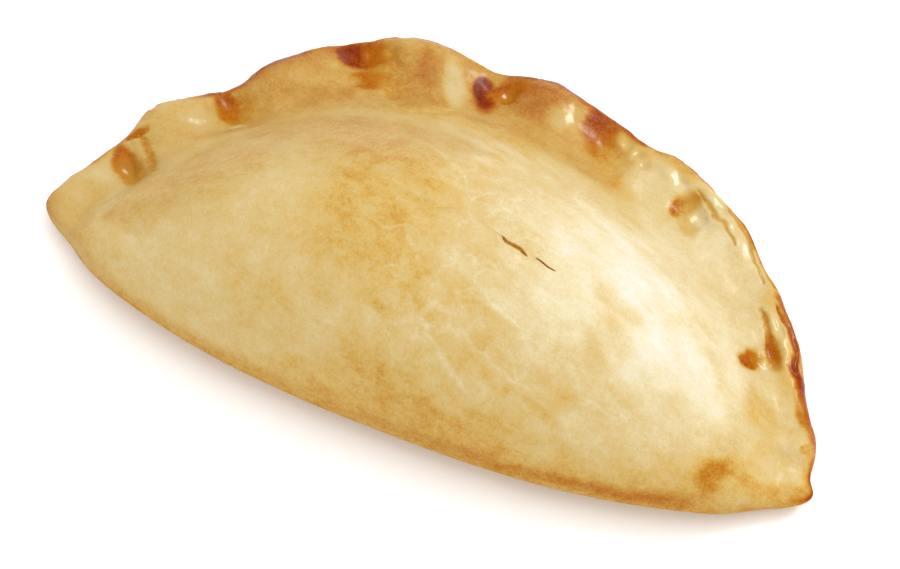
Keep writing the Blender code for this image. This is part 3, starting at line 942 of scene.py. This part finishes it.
def crustMaterial(values):
    material = bpy.data.materials.new("bakedCrust")
    material.use_nodes = True
    tree = material.node_tree
    shader = tree.nodes["Principled BSDF"]
    coordinates = addNode(tree, "ShaderNodeTexCoord", -10, 0).outputs["Object"]
    toneLayer = readLayer(tree, "toneWithPaintedLight", -8, 3)
    glaze = readLayer(tree, "glaze", -8, 2)
    flour = readLayer(tree, "flour", -8, 1)
    broadDetail, fineDetail = values["broadDetail"], values["fineDetail"]
    mottle = addNoise(tree, coordinates, values["mottleScale"], broadDetail, -8, 0)
    stretched = addNode(tree, "ShaderNodeMapping", -9, -3)
    stretched.inputs["Rotation"].default_value = (0.0, 0.0, math.radians(-values["streakTurn"]))
    stretched.inputs["Scale"].default_value = values["streakScale"]
    tree.links.new(coordinates, stretched.inputs["Vector"])
    streak = addNoise(tree, stretched.outputs["Vector"], 1.0, broadDetail, -8, -3)
    grain = addNoise(tree, coordinates, values["grainScale"], fineDetail, -8, -1)
    freckle = addNoise(tree, coordinates, values["freckleScale"], fineDetail, -8, -2)

    # Colour: the baked tone with its painted shade and highlights, broken up at three sizes
    tone = calculate(tree, "MULTIPLY_ADD", mottle, values["mottleStrength"] * 2.0, -6, 3, toneLayer)
    tone = calculate(tree, "MULTIPLY_ADD", grain, values["grainStrength"], -5, 3, tone)
    tone = calculate(tree, "MULTIPLY_ADD", freckle, values["freckleStrength"], -4, 3, tone)
    tone = calculate(tree, "MULTIPLY_ADD", streak, values["streakStrength"] * 2.0, -4, 4, tone)
    middle = values["mottleStrength"] + values["streakStrength"]
    middle += 0.5 * (values["grainStrength"] + values["freckleStrength"])
    tone = calculate(tree, "SUBTRACT", tone, middle, -3, 3)
    tone = calculate(tree, "SUBTRACT", tone, crackLines(tree, coordinates, mottle, values), -3, 4)
    even = calculate(tree, "MULTIPLY", glaze, values["glazeEvens"], -3, 5)
    steady = addNode(tree, "ShaderNodeMix", -2, 4)
    tree.links.new(even, steady.inputs["Factor"])
    tree.links.new(tone, steady.inputs["A"])
    tree.links.new(toneLayer, steady.inputs["B"])
    tone = steady.outputs["Result"]
    ramp = addNode(tree, "ShaderNodeValToRGB", -2, 3)
    ramp.color_ramp.interpolation = "LINEAR"
    stops = ramp.color_ramp.elements
    while len(stops) < len(values["colours"]):
        stops.new(0.5)
    for stop, (position, colour) in zip(stops, values["colours"]):
        stop.position = position
        stop.color = linear(colour, values["lightness"])
    tree.links.new(tone, ramp.inputs["Fac"])
    # painted shade from its layer, with random blush, greys the colour here
    greyed = addNode(tree, "ShaderNodeMix", 0, 3)
    greyed.data_type = "RGBA"
    greyed.inputs["B"].default_value = linear(values["greyShadeColour"], values["lightness"])
    blush = addNoise(tree, coordinates, values["blushScale"], values["blushDetail"], -4, 6)
    blush = calculate(tree, "SUBTRACT", blush, 0.5, -3, 6)
    unglazed = calculate(tree, "SUBTRACT", 1.0, glaze, -3, 7)
    blush = calculate(tree, "MULTIPLY", blush, unglazed, -2, 6)
    greyShade = readLayer(tree, "greyShade", -2, 5)
    greyShade = calculate(tree, "MULTIPLY_ADD", blush, values["blushStrength"], -1, 5, greyShade)
    tree.links.new(calculate(tree, "MAXIMUM", greyShade, 0.0, -1, 4), greyed.inputs["Factor"])
    tree.links.new(ramp.outputs["Color"], greyed.inputs["A"])
    tree.links.new(greyed.outputs["Result"], shader.inputs["Base Color"])

    # Gloss: washed and syrupy in the presses, dry where there is flour
    plain, glazed = values["roughness"]
    rough = calculate(tree, "MULTIPLY_ADD", glaze, glazed - plain, -4, 1, plain)
    rough = calculate(tree, "MULTIPLY_ADD", flour, values["flourRoughness"], -3, 1, rough)
    rough = calculate(tree, "MULTIPLY_ADD", grain, values["grainRoughness"], -2, 1, rough)
    tree.links.new(rough, shader.inputs["Roughness"])
    coat = calculate(tree, "MULTIPLY", glaze, values["coatShare"], -2, 0)
    tree.links.new(coat, shader.inputs["Coat Weight"])
    shader.inputs["Coat Roughness"].default_value = values["coatRoughness"]
    shader.inputs["Coat IOR"].default_value = values["coatIor"]
    shader.inputs["Specular IOR Level"].default_value = values["specular"]

    # Relief finer than the mesh, smoothed over by the glaze
    ofMottle, ofFreckle = values["reliefShares"]
    relief = calculate(tree, "MULTIPLY_ADD", mottle, ofMottle, -6, -2, grain)
    relief = calculate(tree, "MULTIPLY_ADD", freckle, ofFreckle, -5, -2, relief)
    smoothed = calculate(tree, "MULTIPLY_ADD", glaze, -values["glazeFills"], -5, -3, 1.0)
    relief = calculate(tree, "MULTIPLY", relief, smoothed, -4, -2)
    bump = addNode(tree, "ShaderNodeBump", -2, -2)
    bump.inputs["Strength"].default_value = values["bumpStrength"]
    bump.inputs["Distance"].default_value = values["bumpDistance"]
    tree.links.new(relief, bump.inputs["Height"])
    tree.links.new(bump.outputs["Normal"], shader.inputs["Normal"])
    return material


crustPiece.data.materials.clear()
crustPiece.data.materials.append(crustMaterial(crustFinish))
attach(crustPiece, "root")
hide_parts("pasty")
print("crust finished")
